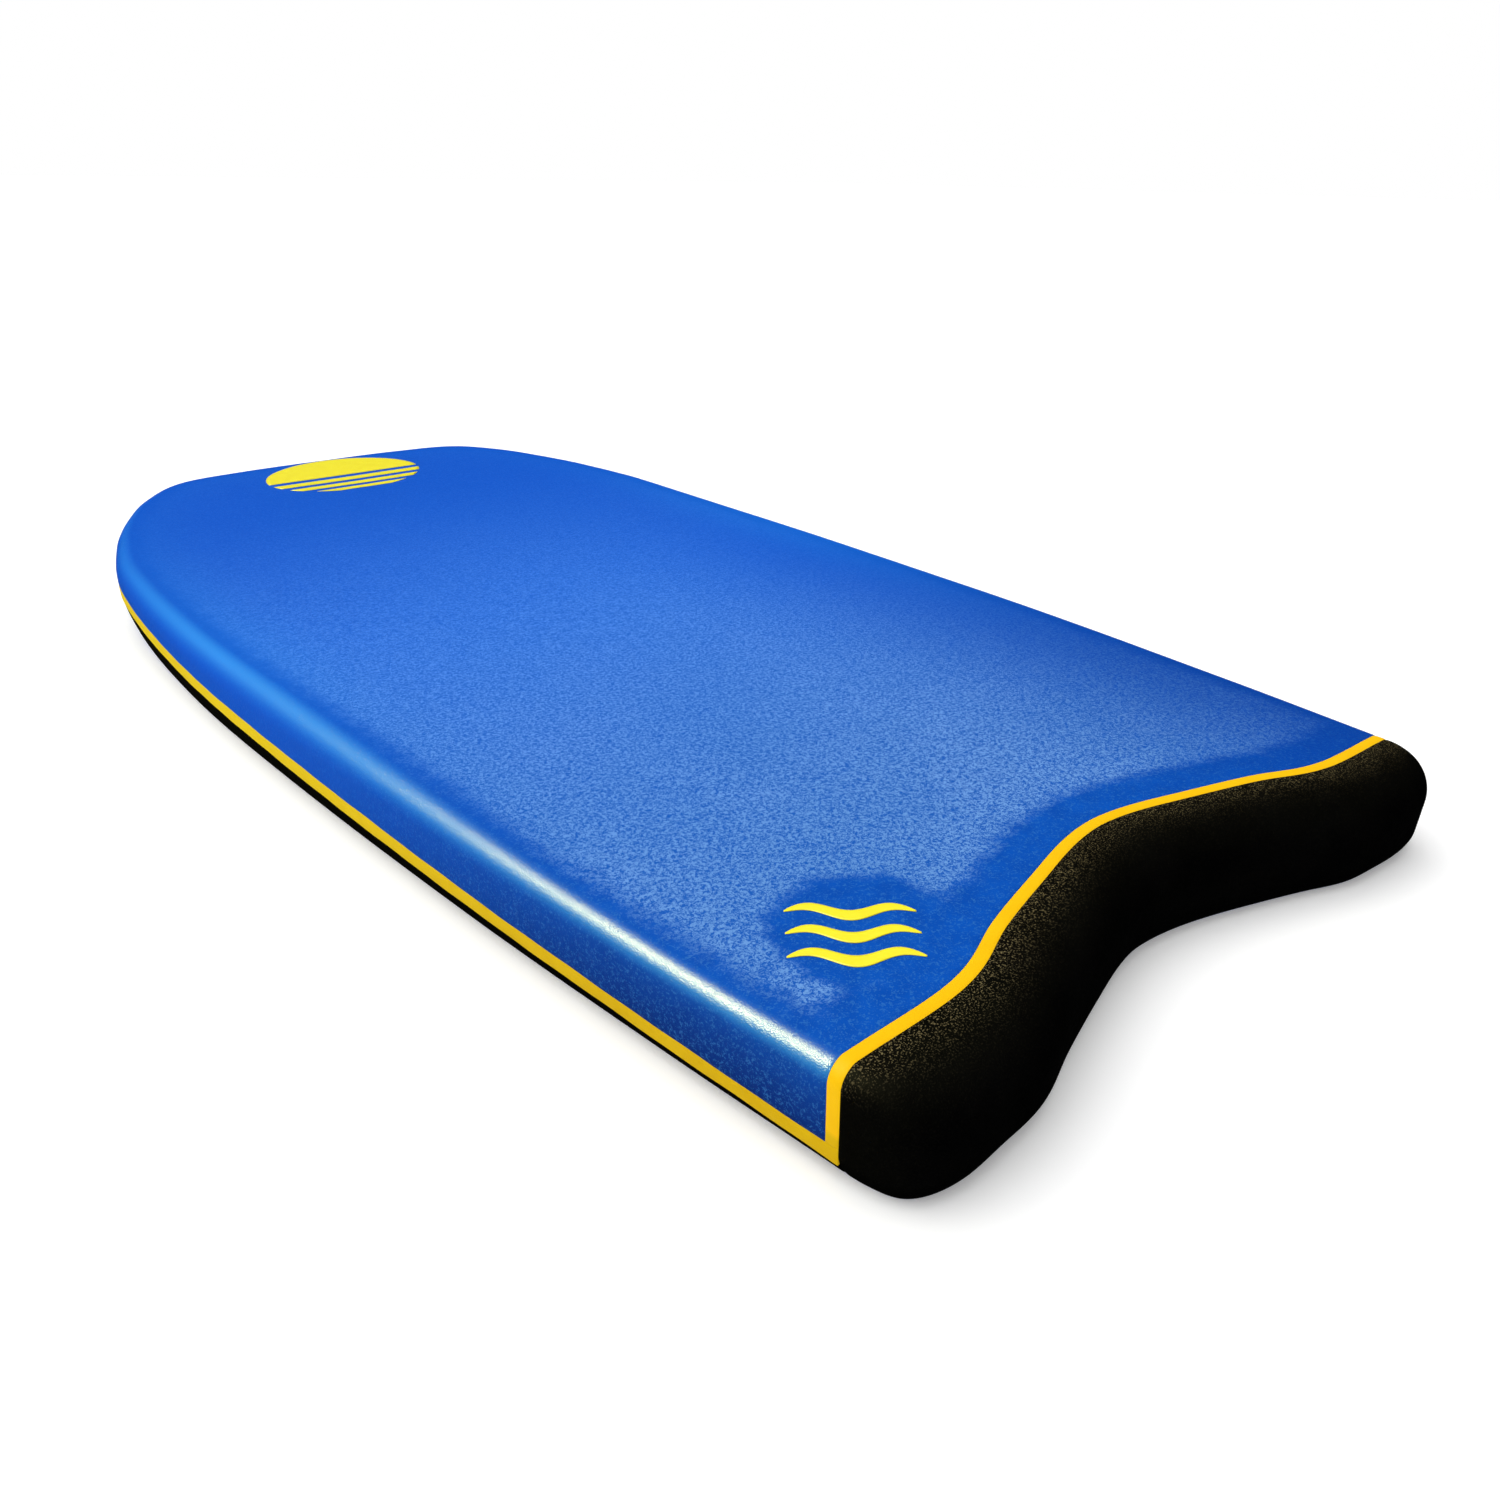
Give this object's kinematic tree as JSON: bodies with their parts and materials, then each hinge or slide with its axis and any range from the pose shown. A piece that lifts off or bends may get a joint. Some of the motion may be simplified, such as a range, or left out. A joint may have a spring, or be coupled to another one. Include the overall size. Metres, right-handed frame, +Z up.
{
  "type": "bodyboard",
  "caption": "Foam bodyboard with a crescent tail, lifted square nose, textured deck skin, two-tone rails with pinlines, slick bottom and a hidden stringer.",
  "frame": {"origin": "middle of the board's outline, on the flat plane of the slick that the board lies on", "axes": "+X to the right across the board, +Y from tail to nose, +Z up through the deck"},
  "size_m": [0.551, 1.067, 0.0731],
  "materials": {
    "core_foam": "closed-cell foam",
    "stringer_tube": "resin-bonded carbon fibre tube",
    "cap_plastic": "moulded",
    "deck_foam": "fine pebble-textured closed-cell foam skin",
    "black_foam": "closed-cell foam skin",
    "pinline_foam": "closed-cell foam strip",
    "bottom_mesh": "woven plastic mesh",
    "bottom_slick": "smooth slick sheet",
    "film_ink": "printed film"
  },
  "bodies": {
    "root": {"core": "core_foam", "stringer_tube": "stringer_tube", "stringer_nose_cap": "cap_plastic", "stringer_tail_cap": "cap_plastic", "bore_plug": "core_foam", "deck_skin": "deck_foam", "tail_bumper": "black_foam", "left_rail_skin": "black_foam", "right_rail_skin": "black_foam", "nose_rail_skin": "black_foam", "tail_pinline": "pinline_foam", "left_rail_pinline": "pinline_foam", "right_rail_pinline": "pinline_foam", "nose_pinline": "pinline_foam", "bottom_mesh": "bottom_mesh", "bottom_slick": "bottom_slick", "nose_print_disc": "film_ink", "nose_print_bar_1": "film_ink", "nose_print_bar_2": "film_ink", "nose_print_bar_3": "film_ink", "tail_print_wave_1": "film_ink", "tail_print_wave_2": "film_ink", "tail_print_wave_3": "film_ink"}
  },
  "joints": []
}
